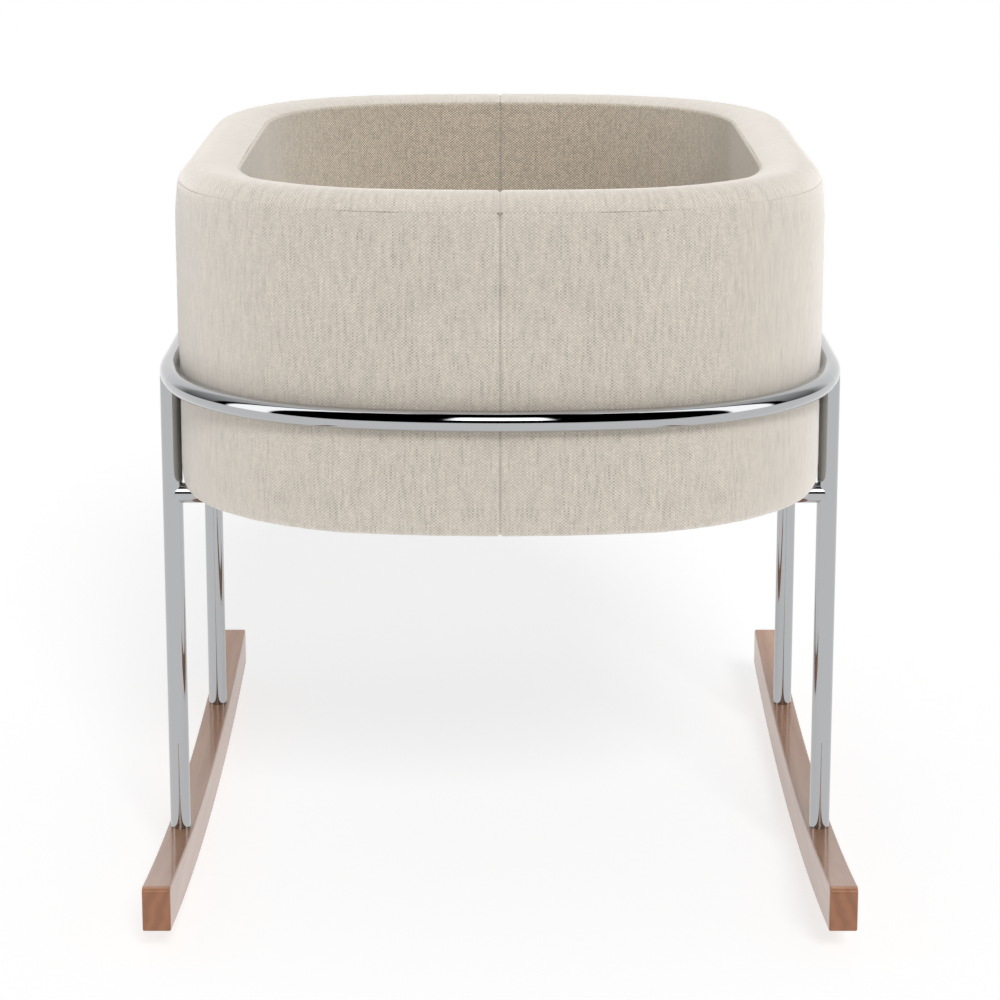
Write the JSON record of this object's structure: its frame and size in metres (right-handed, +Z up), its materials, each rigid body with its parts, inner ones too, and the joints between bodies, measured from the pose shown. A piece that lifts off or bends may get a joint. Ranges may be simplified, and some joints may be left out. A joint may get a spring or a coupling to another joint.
{
  "type": "rocking bassinet",
  "caption": "Padded oval fabric tub held in a bent steel tube hoop on straight legs, standing on curved wooden rockers, with a lift-out mattress.",
  "frame": {"origin": "on the floor under the middle of the bassinet, between the lowest lines of the two rockers", "axes": "+Z up, +Y along the bassinet and its rockers from the front end to the rear end, +X across it to the right seen from the front end"},
  "size_m": [0.6354, 0.878, 0.683],
  "materials": {
    "chrome_tube": "polished",
    "plain_steel": "zinc plated",
    "rocker_wood": "clear satin lacquer",
    "plywood": "raw",
    "foam": "open foam",
    "linen": "heathered linen weave",
    "under_cloth": "non-woven cloth",
    "mattress_cloth": "cotton weave"
  },
  "bodies": {
    "bassinet": {"hoop_tube": "chrome_tube", "leg_front_left": "chrome_tube", "leg_front_right": "chrome_tube", "leg_rear_left": "chrome_tube", "leg_rear_right": "chrome_tube", "cross_tube_front": "chrome_tube", "cross_tube_rear": "chrome_tube", "leg_inserts": "plain_steel", "rocker_left": "rocker_wood", "rocker_right": "rocker_wood", "leg_bolts": "plain_steel", "leg_bolt_washers": "plain_steel", "base_bolts": "plain_steel", "tee_nuts": "plain_steel", "base_panel": "plywood", "shell_wall": "plywood", "foam_outer": "foam", "foam_inner": "foam", "rim_foam": "foam", "cover_outer_left": "linen", "cover_outer_right": "linen", "rim_band_left": "linen", "rim_band_right": "linen", "liner_left": "linen", "liner_right": "linen", "floor_fabric": "linen", "dust_cover": "under_cloth"},
    "mattress": {"mattress_core": "foam", "mattress_cover": "mattress_cloth"}
  },
  "joints": [
    {"name": "mattress_lift", "type": "slide", "parent": "bassinet", "child": "mattress", "axis": [0, 0, 1], "range_m": [0, 0.3]}
  ]
}
